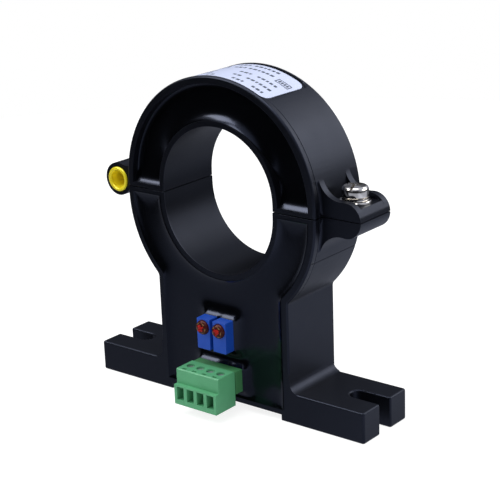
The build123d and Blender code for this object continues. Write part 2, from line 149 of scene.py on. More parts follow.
def surface(name, colour, roughness, metallic=0.0, specular=0.5, sheen=(1, 1, 1), coat=0.0,
            coat_roughness=0.05, rough_spread=0.06, tint=0.12, tint_scale=120.0, grain=0.00001,
            grain_scale=2600.0, stretch=(1, 1, 1), wave=0.0, wave_scale=0.0):
    """Finish with mottled colour, uneven gloss and a fine grain, on object coordinates."""
    made = bpy.data.materials.new(name)
    made.use_nodes = True
    tree = made.node_tree
    shader = tree.nodes["Principled BSDF"]
    shader.inputs["Metallic"].default_value = metallic
    shader.inputs["Specular IOR Level"].default_value = specular
    shader.inputs["Specular Tint"].default_value = (*sheen, 1)
    shader.inputs["Coat Weight"].default_value = coat
    shader.inputs["Coat Roughness"].default_value = coat_roughness
    places = tree.nodes.new("ShaderNodeTexCoord")
    stretched = tree.nodes.new("ShaderNodeMapping")
    stretched.inputs["Scale"].default_value = stretch
    link(tree, places, "Object", stretched, "Vector")
    cloud = tree.nodes.new("ShaderNodeTexNoise")
    cloud.inputs["Scale"].default_value = tint_scale
    cloud.inputs["Detail"].default_value = 4.0
    link(tree, stretched, "Vector", cloud, "Vector")
    shades = tree.nodes.new("ShaderNodeValToRGB")
    shades.color_ramp.elements[0].position = 0.3
    shades.color_ramp.elements[1].position = 0.7
    shades.color_ramp.elements[0].color = (*[c * (1 - tint) for c in colour], 1)
    shades.color_ramp.elements[1].color = (*[min(1, c * (1 + tint)) for c in colour], 1)
    link(tree, cloud, "Fac", shades, "Fac")
    link(tree, shades, "Color", shader, "Base Color")
    gloss = tree.nodes.new("ShaderNodeMapRange")
    gloss.inputs["To Min"].default_value = max(0.02, roughness - rough_spread)
    gloss.inputs["To Max"].default_value = min(1, roughness + rough_spread)
    link(tree, cloud, "Fac", gloss, "Value")
    link(tree, gloss, "Result", shader, "Roughness")
    fine = tree.nodes.new("ShaderNodeTexNoise")
    fine.inputs["Scale"].default_value = grain_scale
    fine.inputs["Detail"].default_value = 3.0
    link(tree, stretched, "Vector", fine, "Vector")
    bump = tree.nodes.new("ShaderNodeBump")
    bump.inputs["Strength"].default_value = 1.0
    bump.inputs["Distance"].default_value = grain
    link(tree, fine, "Fac", bump, "Height")
    if wave:
        swell = tree.nodes.new("ShaderNodeTexNoise")
        swell.inputs["Scale"].default_value = wave_scale
        link(tree, places, "Object", swell, "Vector")
        broad = tree.nodes.new("ShaderNodeBump")
        broad.inputs["Distance"].default_value = wave
        link(tree, swell, "Fac", broad, "Height")
        link(tree, broad, "Normal", bump, "Normal")
    link(tree, bump, "Normal", shader, "Normal")
    return made


def maths(tree, operation, *values):
    """Math node whose inputs are sockets or plain numbers."""
    made = tree.nodes.new("ShaderNodeMath")
    made.operation = operation
    for index, value in enumerate(values):
        if isinstance(value, (int, float)):
            made.inputs[index].default_value = value
        else:
            tree.links.new(value, made.inputs[index])
    return made.outputs["Value"]


def length_of(tree, one, other):
    """Length of a flat vector given as two sockets."""
    return maths(tree, "SQRT", maths(tree, "ADD", maths(tree, "MULTIPLY", one, one),
                                     maths(tree, "MULTIPLY", other, other)))


def reach_along(tree, one, other, direction):
    """How far a flat vector, given as two sockets, goes in a direction."""
    return maths(tree, "ADD", maths(tree, "MULTIPLY", one, direction[0]),
                 maths(tree, "MULTIPLY", other, direction[1]))


def place_axes(tree):
    """Object coordinates of a point, in millimetres, as three sockets."""
    places = tree.nodes.new("ShaderNodeTexCoord")
    split = tree.nodes.new("ShaderNodeSeparateXYZ")
    link(tree, places, "Object", split, "Vector")
    return [maths(tree, "DIVIDE", split.outputs[axis], mm) for axis in "XYZ"]


def bore_painted_shade(made):
    """Less shine on the wall of the conductor window than elsewhere: painted shade for the shade
    that falls in the window.
    """
    tree = made.node_tree
    x, y, z = place_axes(tree)
    within = maths(tree, "MULTIPLY",
                   maths(tree, "LESS_THAN", length_of(tree, x, z), bore_reach),
                   maths(tree, "GREATER_THAN", y, bore_start))
    lost = maths(tree, "MULTIPLY", within, housing_shine - bore_shine)
    shine = maths(tree, "SUBTRACT", housing_shine, lost)
    tree.links.new(shine, tree.nodes["Principled BSDF"].inputs["Specular IOR Level"])


def paint_varnish_highlight(made, colour, ragged=3.2, edge=-0.75, strength=0.85):
    """Brighter colour with a ragged edge round each trimmer's screw: a painted highlight on the
    middle of the varnish.
    """
    tree = made.node_tree
    x, _, z = place_axes(tree)
    across = maths(tree, "SUBTRACT", maths(tree, "ABSOLUTE", x), trimmer_places["span"])
    up = maths(tree, "SUBTRACT", z, trimmer_screw_z)
    cloud = next(n for n in tree.nodes if n.type == "TEX_NOISE")
    out = maths(tree, "ADD", length_of(tree, across, up),
                maths(tree, "MULTIPLY", cloud.outputs["Fac"], -ragged))
    share = maths(tree, "MULTIPLY", maths(tree, "LESS_THAN", out, edge), strength)
    shader = tree.nodes["Principled BSDF"]
    before = shader.inputs["Base Color"].links[0].from_socket
    # The colour sockets of a Mix node share their names with others, so they go by number
    blend = tree.nodes.new("ShaderNodeMix")
    blend.data_type = "RGBA"
    tree.links.new(share, blend.inputs[0])
    tree.links.new(before, blend.inputs[6])
    blend.inputs[7].default_value = (*colour, 1)
    tree.links.new(blend.outputs[2], shader.inputs["Base Color"])


housing_black = surface("moulded_housing", (0.0019, 0.0022, 0.0034), 0.38, specular=housing_shine,
                        sheen=blue_sheen, tint=0.10, grain=0.000012, grain_scale=3200)
potting_black = surface("cast_compound", (0.0006, 0.0007, 0.0010), 0.20, specular=0.45,
                        sheen=blue_sheen, rough_spread=0.03, grain=0.0000015, grain_scale=900,
                        wave=0.00006, wave_scale=90)
core_steel = surface("laminated_core", (0.30, 0.31, 0.33), 0.38, metallic=1.0, grain=0.00002,
                     grain_scale=3000, stretch=(0.05, 6, 0.05))
label_film = surface("label_film", (0.58, 0.63, 0.82), 0.34, specular=0.4, tint=0.03,
                     grain=0.000004)
label_print = surface("label_print", (0.07, 0.085, 0.115), 0.5, tint=0.25, tint_scale=900)
rivet_brass = surface("rivet_brass", (0.95, 0.77, 0.02), 0.30, metallic=0.3, coat=0.6,
                      coat_roughness=0.16, rough_spread=0.07, grain=0.000006, grain_scale=1400,
                      stretch=(1, 0.1, 1))
nickel_plate = surface("nickel_plate", (0.80, 0.76, 0.70), 0.13, metallic=1.0, rough_spread=0.06,
                       grain=0.000006, grain_scale=1800)
insert_brass = surface("turned_brass", (0.72, 0.52, 0.22), 0.24, metallic=1.0, stretch=(1, 1, 9))
board_green = surface("solder_mask", (0.03, 0.16, 0.08), 0.35, tint=0.2)
chip_black = surface("moulded_chip", (0.02, 0.02, 0.022), 0.55)
lead_film = surface("polyimide_film", (0.55, 0.27, 0.05), 0.28, coat=0.4)
tinned_pin = surface("tinned_pin", (0.70, 0.70, 0.68), 0.28, metallic=1.0)
terminal_green = surface("terminal_green", (0.090, 0.345, 0.165), 0.42, specular=0.45, tint=0.07,
                         grain=0.000006, grain_scale=3500)
header_green = surface("header_green", (0.05, 0.20, 0.075), 0.42, specular=0.45, tint=0.08,
                       grain=0.000006, grain_scale=3500)
trimmer_blue = surface("trimmer_blue", (0.008, 0.062, 0.40), 0.40, specular=0.32, tint=0.08,
                       grain=0.000006, grain_scale=3000)
trimmer_brass = surface("trimmer_brass", (0.66, 0.36, 0.14), 0.25, metallic=1.0)
varnish_red = surface("seal_varnish", (0.034, 0.0045, 0.004), 0.24, sheen=(1.0, 0.45, 0.38),
                      rough_spread=0.05, tint=0.5, tint_scale=1500, grain=0.00007,
                      grain_scale=900)
zinc_plate = surface("zinc_plate", (0.52, 0.56, 0.58), 0.32, metallic=0.8, rough_spread=0.10,
                     tint=0.35, tint_scale=900, grain=0.00012, grain_scale=800)
bore_painted_shade(housing_black)
# Painted highlight: brighter red in the middle of each varnish seal
paint_varnish_highlight(varnish_red, (0.36, 0.008, 0.005))

slot_finish = {
    "housing_black": housing_black, "potting_black": potting_black, "core_steel": core_steel,
    "label_film": label_film, "rivet_brass": rivet_brass, "nickel_plate": nickel_plate,
    "insert_brass": insert_brass, "board_green": board_green, "chip_black": chip_black,
    "lead_strip": lead_film, "tinned_pin": tinned_pin, "terminal_green": terminal_green,
    "trimmer_blue": trimmer_blue, "trimmer_brass": trimmer_brass, "zinc_plate": zinc_plate,
}


# Mesh helpers

def shade(mesh, sharp=32):
    """Smooth shading, broken at real corners."""
    mesh.polygons.foreach_set("use_smooth", [True] * len(mesh.polygons))
    mesh.set_sharp_from_angle(angle=radians(sharp))


def piece_from(name, shape, finish, sharp=32):
    """Object from a bmesh in millimetres."""
    bmesh.ops.scale(shape, vec=(mm,) * 3, verts=shape.verts)
    mesh = bpy.data.meshes.new(name)
    shape.to_mesh(mesh)
    shape.free()
    made = bpy.data.objects.new(name, mesh)
    bpy.context.collection.objects.link(made)
    mesh.materials.append(finish)
    shade(mesh, sharp)
    return made


def settle(piece):
    """Make a piece's modifiers part of its mesh."""
    bpy.context.view_layer.update()
    evaluated = piece.evaluated_get(bpy.context.evaluated_depsgraph_get())
    mesh = bpy.data.meshes.new_from_object(evaluated)
    piece.modifiers.clear()
    piece.data = mesh
    shade(mesh)


def weigh_normals(piece):
    """Let broad faces keep their own light beside narrow rounded edges."""
    weighted = piece.modifiers.new("even_faces", "WEIGHTED_NORMAL")
    weighted.keep_sharp = True
    weighted.weight = 80


def stand_in(piece, node):
    """The piece shows in place of a node, on the node's body."""
    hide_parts(node)
    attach(piece, node_body[node])


def add_on(piece, node):
    """An extra piece that goes with a node."""
    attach(piece, node_body[node])


def ring_of(shape, points):
    """New vertices at the given points."""
    return [shape.verts.new(point) for point in points]


def bridge(shape, one, other, closed=True):
    """Quads between two rows of vertices of the same count."""
    count = len(one)
    for index in range(count if closed else count - 1):
        after = (index + 1) % count
        shape.faces.new((one[index], one[after], other[after], other[index]))


def turned(name, profile, centre, direction, finish, segments=72, sharp=32):
    """Closed solid of revolution from points (radius, height) round a closed outline."""
    shape = bmesh.new()
    rows = []
    for index in range(segments):
        angle = 2 * pi * index / segments
        rows.append(ring_of(shape, [(radius * cos(angle), radius * sin(angle), height)
                                    for radius, height in profile]))
    for index in range(segments):
        bridge(shape, rows[index], rows[(index + 1) % segments])
    bmesh.ops.remove_doubles(shape, verts=shape.verts, dist=turned_merge)
    bmesh.ops.dissolve_degenerate(shape, edges=shape.edges, dist=turned_merge)
    bmesh.ops.recalc_face_normals(shape, faces=shape.faces)
    turn = Vector((0, 0, 1)).rotation_difference(Vector(direction)).to_matrix()
    for vert in shape.verts:
        vert.co = turn @ vert.co + Vector(centre)
    return piece_from(name, shape, finish, sharp)


def add_bar(shape, low, high):
    """Box between two corners, added to a bmesh."""
    middle = [(a + b) / 2 for a, b in zip(low, high)]
    size = [b - a for a, b in zip(low, high)]
    place = Matrix.Translation(middle) @ Matrix.Diagonal((*size, 1))
    return bmesh.ops.create_cube(shape, size=1, matrix=place)["verts"]


def cut(piece, tool):
    """Take a tool's form out of a piece, then drop the tool."""
    step = piece.modifiers.new("cut", "BOOLEAN")
    step.operation = "DIFFERENCE"
    step.solver = "EXACT"
    step.object = tool
    settle(piece)
    bpy.data.objects.remove(tool)


def merged_shape(node):
    """A node's mesh in millimetres, with its loose triangles joined."""
    shape = bmesh.new()
    shape.from_mesh(nodes[node].data)
    bmesh.ops.scale(shape, vec=(1 / mm,) * 3, verts=shape.verts)
    bmesh.ops.remove_doubles(shape, verts=shape.verts, dist=cad_merge)
    return shape


def moulded_copy(node, name, finish, groups, reshape=None):
    """Copy of a node's mesh with its corners rounded; groups are (test, width, segments)."""
    shape = merged_shape(node)
    if reshape:
        reshape(shape)
    bmesh.ops.dissolve_limit(shape, angle_limit=radians(flat_angle), verts=shape.verts,
                             edges=shape.edges)
    for test, width, segments in groups:
        edges = [e for e in shape.edges if len(e.link_faces) == 2
                 and e.calc_face_angle(0) > radians(corner_angle) and test(e)]
        if edges:
            bmesh.ops.bevel(shape, geom=edges, offset=width, offset_type="OFFSET",
                            segments=segments, profile=0.5, affect="EDGES",
                            clamp_overlap=width < unclamped_width)
    made = piece_from(name, shape, finish, sharp=34)
    weigh_normals(made)
    return made


# Housing

def middle_of(edge):
    """Point halfway along an edge."""
    return (edge.verts[0].co + edge.verts[1].co) / 2


def on_foot(edge):
    """Edges of the feet, outside the neck."""
    return middle_of(edge).z < foot_zone_top and abs(middle_of(edge).x) > foot_zone_start


def on_rim(edge):
    """Edges round the front opening and the two faces of the ring and neck."""
    y = middle_of(edge).y
    flat = abs(edge.verts[0].co.y - edge.verts[1].co.y) < level_match
    return flat and (y < front_edges or y > rear_edges) and not on_foot(edge)


def on_lug(edge):
    """Free edges of the lugs, away from the parting plane."""
    point = middle_of(edge)
    return abs(point.x) > lug_zone_start and lug_zone_low < abs(point.z) < lug_zone_high


def opened_seam(shape):
    """Set the halves' faces a little further apart, because the photo's dark line is wider."""
    for vert in shape.verts:
        if abs(abs(vert.co.z) - packed_parting) < seam_match:
            vert.co.z = parting if vert.co.z > 0 else -parting


def raised_floor(shape):
    """Bring the floor round the clamp screw up to its washers, inside the lug's round end."""
    opened_seam(shape)
    outer = lug_offset + sqrt(lug_radius ** 2 - clamp_floor ** 2)
    for vert in shape.verts:
        level = abs(vert.co.z - packed_clamp_floor) < level_match
        if level and vert.co.x > floor_zone_start and abs(vert.co.y) < floor_zone_half:
            vert.co.z = clamp_floor
            vert.co.x = min(vert.co.x, outer)


def score_ring(piece):
    """Cut the fine moulded line round the ring behind its front rim."""
    shape = bmesh.new()
    level = front + score_line_inset
    near, far = level - score_width / 2, level + score_width / 2
    low, high = ring_radius - score_depth, ring_radius + 1
    section = [(low, near), (high, near), (high, far), (low, far)]
    start = degrees(asin((score_low + window_straight) / ring_radius))
    ends = [start * i / score_end_steps for i in range(score_end_steps + 1)]
    turns = [(start - angle, -window_straight) for angle in ends]
    turns += [(i * score_round_step, window_straight)
              for i in range(int(180 / score_round_step) + 1)]
    turns += [(180 - angle, -window_straight) for angle in ends]
    rows = []
    for angle, centre in turns:
        across, up = cos(radians(angle)), sin(radians(angle))
        rows.append(ring_of(shape, [(radius * across, y, centre + radius * up)
                                    for radius, y in section]))
    for one, other in zip(rows, rows[1:]):
        bridge(shape, one, other)
    shape.faces.new(rows[0])
    shape.faces.new(rows[-1])
    bmesh.ops.recalc_face_normals(shape, faces=shape.faces)
    cut(piece, piece_from("score_tool", shape, housing_black))


def score_sides(piece):
    """Cut the fine moulded line across each side of the lower half."""
    shape = bmesh.new()
    reach = sqrt(ring_radius ** 2 - (lower_seam_drop - window_straight) ** 2)
    for side in (-1, 1):
        ends = sorted((side * (reach - score_depth), side * (reach + 1)))
        add_bar(shape, (ends[0], front - 1, -lower_seam_drop - score_width / 2),
                (ends[1], rear + 1, -lower_seam_drop + score_width / 2))
    cut(piece, piece_from("score_tool", shape, housing_black))


upper_shell = moulded_copy("upper_housing", "upper_shell", housing_black,
                           [(on_rim, 0.22, 2), (on_lug, 0.3, 2)], raised_floor)
score_ring(upper_shell)
weigh_normals(upper_shell)
stand_in(upper_shell, "upper_housing")
lower_shell = moulded_copy("lower_housing", "lower_shell", housing_black,
                           [(on_foot, 0.58, 4), (on_rim, 0.22, 2), (on_lug, 0.3, 2)],
                           opened_seam)
score_ring(lower_shell)
score_sides(lower_shell)
weigh_normals(lower_shell)
stand_in(lower_shell, "lower_housing")


# Potting

def front_loops(node):
    """Closed outlines of a node's flat front face, widest first, and its level."""
    shape = merged_shape(node)
    level = min(vert.co.y for vert in shape.verts)
    flat = {f for f in shape.faces if all(abs(v.co.y - level) < level_match for v in f.verts)}
    left = [e for e in shape.edges if len([f for f in e.link_faces if f in flat]) == 1]
    loops = []
    while left:
        start, here = left.pop(0).verts
        loop = [start.co.xz, here.co.xz]
        while here != start:
            step = next(e for e in here.link_edges if e in left)
            left.remove(step)
            here = step.other_vert(here)
            loop.append(here.co.xz)
        loops.append([Vector(p) for p in loop[:-1]])
    shape.free()
    return sorted(loops, key=lambda loop: -max(abs(p.x) for p in loop)), level


def divided(loop, pitch):
    """The same outline with points no further apart than a pitch."""
    points = []
    for index, point in enumerate(loop):
        after = loop[(index + 1) % len(loop)]
        steps = max(1, int((after - point).length / pitch + 0.99))
        points += [point.lerp(after, step / steps) for step in range(steps)]
    return points


def distance_to(point, loop):
    """Shortest way from a point to a closed outline."""
    best = 1e9
    x, z = point
    for index, one in enumerate(loop):
        other = loop[index - 1]
        dx, dz = other.x - one.x, other.y - one.y
        share = ((x - one.x) * dx + (z - one.y) * dz) / (dx * dx + dz * dz + 1e-12)
        along = max(0.0, min(1.0, share))
        gap = (x - one.x - along * dx) ** 2 + (z - one.y - along * dz) ** 2
        best = min(best, gap)
    return sqrt(best)


def inside(point, loop):
    """Whether a closed outline goes round a point."""
    x, z = point
    hit = False
    for index, one in enumerate(loop):
        other = loop[index - 1]
        if (one.y > z) != (other.y > z):
            if x < (other.x - one.x) * (z - one.y) / (other.y - one.y) + one.x:
                hit = not hit
    return hit


def on_face(spot, loops):
    """Whether a point lies inside the first outline and outside all others."""
    return inside(spot, loops[0]) and not any(inside(spot, loop) for loop in loops[1:])


def skin_points(loops):
    """Points on the outlines, in rows beside them and on a grid; and the outlines' edges."""
    rims = [divided(loop, rim_pitch) for loop in loops]
    points, edges = [], []
    for rim in rims:
        start = len(points)
        points += rim
        edges += [(start + i, start + (i + 1) % len(rim)) for i in range(len(rim))]
    for rim in rims:
        for index, point in enumerate(rim):
            along = (rim[(index + 1) % len(rim)] - rim[index - 1]).normalized()
            for depth in row_depths:
                for side in (1, -1):
                    spot = point + Vector((-along.y, along.x)) * side * depth
                    gap = min(distance_to(spot, loop) for loop in loops)
                    if gap > depth * row_clearance and on_face(spot, loops):
                        points.append(spot)
    x_low, x_high = min(p.x for p in loops[0]), max(p.x for p in loops[0])
    z_low, z_high = min(p.y for p in loops[0]), max(p.y for p in loops[0])
    for column in range(int((x_high - x_low) / grid_pitch) + 1):
        for row in range(int((z_high - z_low) / grid_pitch) + 1):
            spot = Vector((x_low + column * grid_pitch, z_low + row * grid_pitch))
            if on_face(spot, loops):
                if min(distance_to(spot, loop) for loop in loops) > grid_margin:
                    points.append(spot)
    return points, edges


def potting_skin(node, name, wall_rise, wall_reach, island_rise=0.0, ledge_rise=0.0,
                 arc_rise=0.0):
    """Glossy skin of the compound, climbing walls, ledges, the window's crown and islands."""
    loops, level = front_loops(node)
    z_low = min(p.y for p in loops[0])

    def climb_at(spot):
        """How far the compound stands out of its level face at a point."""
        above = min(1.0, max(0.0, (spot.y - arc_low) / (arc_high - arc_low)))
        beyond = hypot(spot.x, spot.y - window_straight) - sleeve_radius
        climbs = [wall_rise * exp(-distance_to(spot, loops[0]) / wall_reach),
                  ledge_rise * exp(-(spot.y - z_low) / ledge_reach),
                  arc_rise * above * above * (3 - 2 * above) * exp(-beyond / ledge_reach)]
        climbs += [island_rise * exp(-distance_to(spot, loop) / wall_reach)
                   for loop in loops[1:]]
        return max(climbs)

    points, edges = skin_points(loops)
    flat, _, faces = delaunay_2d_cdt(points, edges, [], 1, skin_merge)[:3]
    shape = bmesh.new()
    tops, bottoms = [], []
    for spot in flat:
        tops.append(shape.verts.new((spot.x, level - skin_lift - climb_at(spot), spot.y)))
        bottoms.append(shape.verts.new((spot.x, level + skin_depth, spot.y)))
    sides = {}
    for face in faces:
        if not on_face(sum((flat[i] for i in face), Vector((0, 0))) / len(face), loops):
            continue
        shape.faces.new([tops[i] for i in face])
        shape.faces.new([bottoms[i] for i in reversed(face)])
        for index, one in enumerate(face):
            pair = (one, face[index - 1])
            sides.setdefault(frozenset(pair), []).append(pair)
    for pairs in sides.values():
        if len(pairs) == 1:
            one, other = pairs[0]
            shape.faces.new((tops[one], tops[other], bottoms[other], bottoms[one]))
    bmesh.ops.delete(shape, geom=[v for v in shape.verts if not v.link_faces], context="VERTS")
    bmesh.ops.recalc_face_normals(shape, faces=shape.faces)
    add_on(piece_from(name, shape, potting_black, sharp=50), node)


potting_skin("upper_potting", "upper_potting_skin", 0.4, 0.6, ledge_rise=2.0, arc_rise=2.3)
potting_skin("lower_potting", "lower_potting_skin", 0.85, 1.45, island_rise=2.0)


# Label

def crown_point(length, y, radius):
    """Point on the crown: length along the curve from the top, and y."""
    angle = length / label_floor
    return (radius * sin(angle), y, window_straight + radius * cos(angle))


def rim_of(grid):
    """Vertices round the edge of a grid of columns, in order."""
    return ([column[0] for column in grid] + grid[-1][1:]
            + [column[-1] for column in reversed(grid[:-1])] + grid[0][-2:0:-1])


def curved_panel(shape, x_range, y_range, low, high, corner=0.0, steps=40):
    """Closed curved panel with rounded corners, between two radii."""
    half = ((x_range[1] - x_range[0]) / 2, (y_range[1] - y_range[0]) / 2)
    middle = ((x_range[1] + x_range[0]) / 2, (y_range[1] + y_range[0]) / 2)
    columns = []
    for index in range(steps + 1):
        x = -half[0] + 2 * half[0] * index / steps
        y = half[1]
        if corner:
            x = half[0] * sin(pi / 2 * (2 * index / steps - 1))
            over = max(0.0, abs(x) - (half[0] - corner))
            y = half[1] - corner + sqrt(max(0.0, corner ** 2 - over ** 2))
        columns.append((x + middle[0], middle[1] - y, middle[1] + y))
    grids = [[[shape.verts.new(crown_point(x, a + (b - a) * share, radius))
               for share in (0, 0.5, 1)] for x, a, b in columns] for radius in (high, low)]
    for grid in grids:
        for one, other in zip(grid, grid[1:]):
            bridge(shape, one, other, closed=False)
    bridge(shape, rim_of(grids[0]), rim_of(grids[1]))


def rating_label():
    """White film in its shallow pocket."""
    shape = bmesh.new()
    half = radians(label_half_angle) * label_floor
    curved_panel(shape, (-half, half), (label_front, label_rear), label_floor + film_low,
                 label_floor + film_high, label_corner)
    bmesh.ops.remove_doubles(shape, verts=shape.verts, dist=film_merge)
    bmesh.ops.recalc_face_normals(shape, faces=shape.faces)
    stand_in(piece_from("label_film", shape, label_film), "rating_label")


def label_marks():
    """Rows of small grey blocks and one framed field, in place of any words."""
    shape = bmesh.new()
    low, high = label_floor + mark_low, label_floor + mark_high
    rows = [(7.2, [(-11.5, -7.0), (-4.2, 0.2), (1.4, 10.4)]),
            (3.8, [(-9.5, -5.0), (-3.4, 0.6), (1.8, 11.6)]),
            (-0.8, [(-12.0, -5.4), (2.2, 6.4), (8.4, 15.8)]),
            (-4.4, [(-10.6, -4.2), (2.6, 4.8), (7.4, 16.0)]),
            (-7.8, [(-4.4, -1.0), (4.8, 8.7), (12.0, 16.0)])]
    for y, groups in rows:
        y_range = (y - mark_height / 2, y + mark_height / 2)
        for start, end in groups:
            x, index = start, 0
            while x + mark_least < end:
                width = mark_widths[index % len(mark_widths)]
                curved_panel(shape, (x, x + width), y_range, low, high, steps=2)
                x += width + mark_gap
                index += 1
    (left, right), (near, far), line = (12.5, 17.4), (1.7, 4.3), 0.32
    for x_range, y_range in [((left, right), (near, near + line)),
                             ((left, right), (far - line, far)),
                             ((left, left + line), (near, far)),
                             ((right - line, right), (near, far))]:
        curved_panel(shape, x_range, y_range, low, high, steps=6)
    for index in range(4):
        x = left + 0.8 + index * 0.95
        curved_panel(shape, (x, x + 0.6), (near + 0.7, far - 0.7), low, high, steps=2)
    bmesh.ops.recalc_face_normals(shape, faces=shape.faces)
    add_on(piece_from("label_marks", shape, label_print), "rating_label")


rating_label()
label_marks()


# Rivet and clamp screw

def arc(centre, radius, start, end, steps):
    """Points on an arc, angles in degrees."""
    angles = [radians(start + (end - start) * i / steps) for i in range(steps + 1)]
    return [(centre[0] + radius * cos(a), centre[1] + radius * sin(a)) for a in angles]


def hinge_rivet():
    """Hollow rivet with its ends flared and rolled over."""
    half = lug_rear + 0.1
    end = [(2.2, half - 2.2), (2.35, half - 1.2), (2.7, half - 0.35)]
    end += arc((3.3, half + 0.02), 0.55, 150, -20, 8) + [(3.75, half), (2.7, half)]
    profile = end + [(r, -h) for r, h in reversed(end)]
    made = turned("flared_rivet", profile, (rivet_x, 0, 0), (0, 1, 0), rivet_brass,
                  segments=80)
    stand_in(made, "hinge_rivet")


def new_group(name, inputs):
    """Empty geometry tree with named size inputs; inputs are (name, kind, default)."""
    tree = bpy.data.node_groups.new(name, "GeometryNodeTree")
    tree.interface.new_socket("Geometry", in_out="OUTPUT", socket_type="NodeSocketGeometry")
    for label, kind, default in inputs:
        socket = tree.interface.new_socket(label, in_out="INPUT", socket_type="NodeSocket" + kind)
        if default is not None:
            socket.default_value = default
    return tree, tree.nodes.new("NodeGroupInput"), tree.nodes.new("NodeGroupOutput")


def close_group(tree, last, output, finish, target):
    """Realize the instances, set the finish and send the result out."""
    real = tree.nodes.new("GeometryNodeRealizeInstances")
    paint = tree.nodes.new("GeometryNodeSetMaterial")
    paint.inputs["Material"].default_value = finish
    link(tree, last, output, real, "Geometry")
    link(tree, real, "Geometry", paint, "Geometry")
    link(tree, paint, "Geometry", target, "Geometry")


def grown(name, tree, values):
    """Plain mesh of a geometry tree run with the given values."""
    holder = bpy.data.objects.new(name, bpy.data.meshes.new(name))
    bpy.context.collection.objects.link(holder)
    step = holder.modifiers.new("tree", "NODES")
    step.node_group = tree
    for item in tree.interface.items_tree:
        if item.item_type == "SOCKET" and item.in_out == "INPUT" and item.name in values:
            step[item.identifier] = values[item.name]
    settle(holder)
    return holder


def thread_tree(finish):
    """Rounded ridges stacked along z, as on a screw shank."""
    tree, given, target = new_group("thread_ridges", [
        ("Turns", "Int", 8), ("Pitch", "Float", thread_pitch * mm), ("Radius", "Float", 2.0 * mm),
        ("Place", "Vector", None)])
    line = tree.nodes.new("GeometryNodeMeshLine")
    step = tree.nodes.new("ShaderNodeCombineXYZ")
    link(tree, given, "Pitch", step, "Z")
    link(tree, given, "Turns", line, "Count")
    link(tree, given, "Place", line, "Start Location")
    link(tree, step, "Vector", line, "Offset")
    ridge = tree.nodes.new("GeometryNodeMeshCone")
    ridge.inputs["Vertices"].default_value = 40
    narrowed = maths(tree, "MULTIPLY", given.outputs["Radius"], ridge_taper)
    link(tree, given, "Radius", ridge, "Radius Bottom")
    tree.links.new(narrowed, ridge.inputs["Radius Top"])
    link(tree, given, "Pitch", ridge, "Depth")
    repeat = tree.nodes.new("GeometryNodeInstanceOnPoints")
    link(tree, line, "Mesh", repeat, "Points")
    link(tree, ridge, "Mesh", repeat, "Instance")
    close_group(tree, repeat, "Instances", finish, target)
    return tree


def recess_bar(turn, length, depth, foot):
    """Tapered tool for one arm of the recess, as an object."""
    tool = bmesh.new()
    for vert in add_bar(tool, (-length / 2, -recess_width / 2, -depth),
                        (length / 2, recess_width / 2, recess_rise)):
        if vert.co.z < 0:
            vert.co.x *= foot
            vert.co.y *= recess_taper
    bmesh.ops.rotate(tool, verts=tool.verts, cent=(0, 0, 0),
                     matrix=Matrix.Rotation(radians(turn), 3, "Z"))
    bmesh.ops.translate(tool, verts=tool.verts, vec=(clamp_x, 0, head_top))
    return piece_from("recess_tool", tool, nickel_plate)


def clamp_screw():
    """Domed pan head with a slot through a cross recess, and a threaded shank."""
    profile = [(0, screw_tip), (1.35, screw_tip), (thread_core, screw_tip + 0.4),
               (thread_core, head_low), (3.5, head_low)]
    profile += arc((3.4, head_low + 0.4), 0.4, -60, 0, 3)
    profile += arc((2.5, head_top - 1.55), 1.3, 5, 68, 8)
    profile += arc((0, head_top - 12.4), 12.4, 76.5, 90, 6)
    head = turned("pan_head_screw", profile, (clamp_x, 0, 0), (0, 0, 1), nickel_plate,
                  segments=80)
    cut(head, recess_bar(recess_turn, 10, 1.15, 1.0))
    cut(head, recess_bar(recess_turn - 90, 4.8, 1.7, 0.4))
    stand_in(head, "clamp_screw")
    ridges = grown("screw_thread", thread_tree(nickel_plate),
                   {"Turns": 9, "Pitch": thread_pitch * mm, "Radius": thread_radius * mm,
                    "Place": (clamp_x * mm, 0, (screw_tip + 0.4) * mm)})
    add_on(ridges, "clamp_screw")


def flat_washer():
    """Plain washer with its edges broken."""
    profile = [(2.15, clamp_floor), (4.4, clamp_floor), (4.5, clamp_floor + 0.1),
               (4.5, washer_top - 0.16), (4.36, washer_top), (2.25, washer_top),
               (2.15, washer_top - 0.1)]
    made = turned("plain_washer", profile, (clamp_x, 0, 0), (0, 0, 1), nickel_plate)
    stand_in(made, "flat_washer")


def spring_washer():
    """Split washer with its ends sprung slightly apart."""
    shape = bmesh.new()
    rows = []
    steps = 72
    section = [(2.2, 0), (3.8, 0), (3.8, 0.78), (2.2, 0.78)]
    start, end = radians(221), radians(569)
    for index in range(steps + 1):
        part = index / steps
        angle = start + (end - start) * part
        lift = washer_top + 0.02 + 0.10 * part
        rows.append(ring_of(shape, [(clamp_x + r * cos(angle), r * sin(angle), lift + h)
                                    for r, h in section]))
    for one, other in zip(rows, rows[1:]):
        bridge(shape, one, other)
    shape.faces.new(rows[0])
    shape.faces.new(list(reversed(rows[-1])))
    bmesh.ops.recalc_face_normals(shape, faces=shape.faces)
    bmesh.ops.bevel(shape, geom=[e for e in shape.edges if e.calc_face_angle(0) > 1],
                    offset=0.09, segments=2, profile=0.5, affect="EDGES", clamp_overlap=True)
    stand_in(piece_from("sprung_washer", shape, nickel_plate), "spring_washer")


hinge_rivet()
clamp_screw()
flat_washer()
spring_washer()


# Trimmers and their sealed screws

def on_trimmer_face(edge):
    """Edges of a trimmer's front end."""
    return middle_of(edge).y < trimmer_edges


